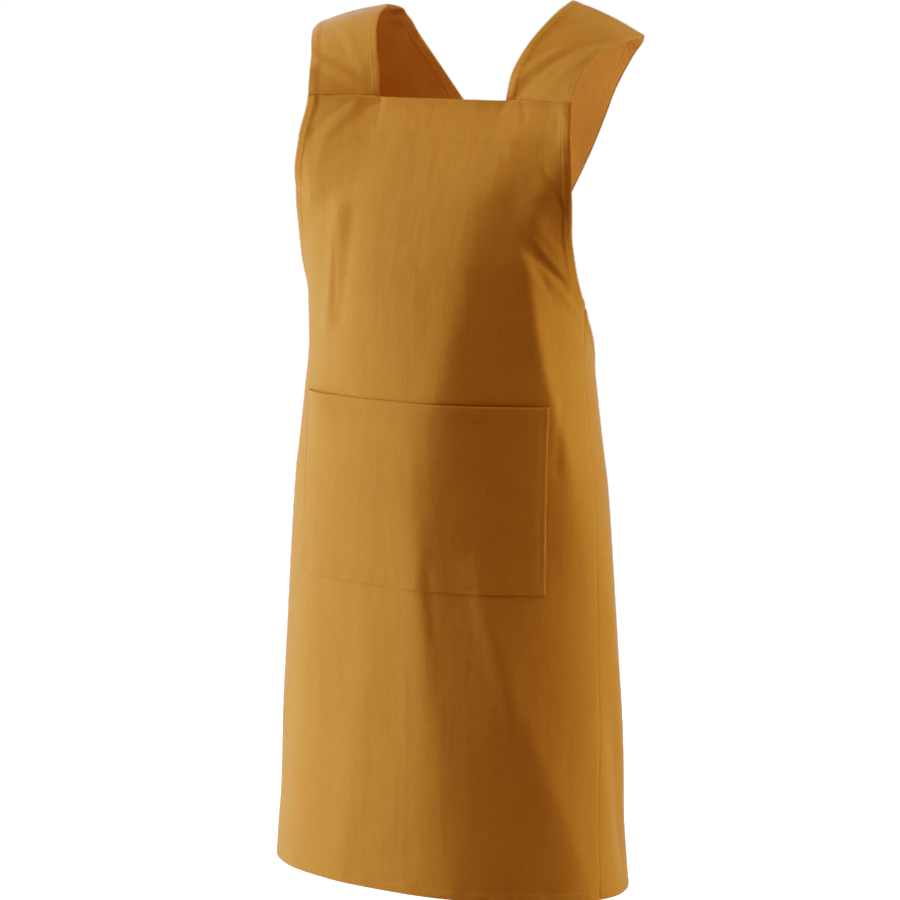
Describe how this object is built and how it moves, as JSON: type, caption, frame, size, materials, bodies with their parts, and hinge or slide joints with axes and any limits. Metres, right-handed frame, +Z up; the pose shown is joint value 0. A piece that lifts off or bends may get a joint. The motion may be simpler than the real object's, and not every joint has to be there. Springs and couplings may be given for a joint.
{
  "type": "cross back apron",
  "caption": "Plain pull-on cotton apron in its worn form: bib, wide shoulder straps that cross at the back and a wide patch pocket.",
  "frame": {"origin": "midway between the two places where the straps lie on the shoulders", "axes": "+Z up along the wearer, -Y towards the front of the bib, +X to the wearer's left"},
  "size_m": [0.4015, 0.2411, 0.9015],
  "materials": {
    "body_cloth": "matte",
    "pocket_cloth": "matte",
    "strap_cloth": "matte"
  },
  "bodies": {
    "root": {"front_panel": "body_cloth", "bib_facing": "body_cloth", "pocket": "pocket_cloth", "strap_left": "strap_cloth", "strap_right": "strap_cloth", "back_panel_left": "body_cloth", "back_panel_right": "body_cloth"}
  },
  "joints": []
}
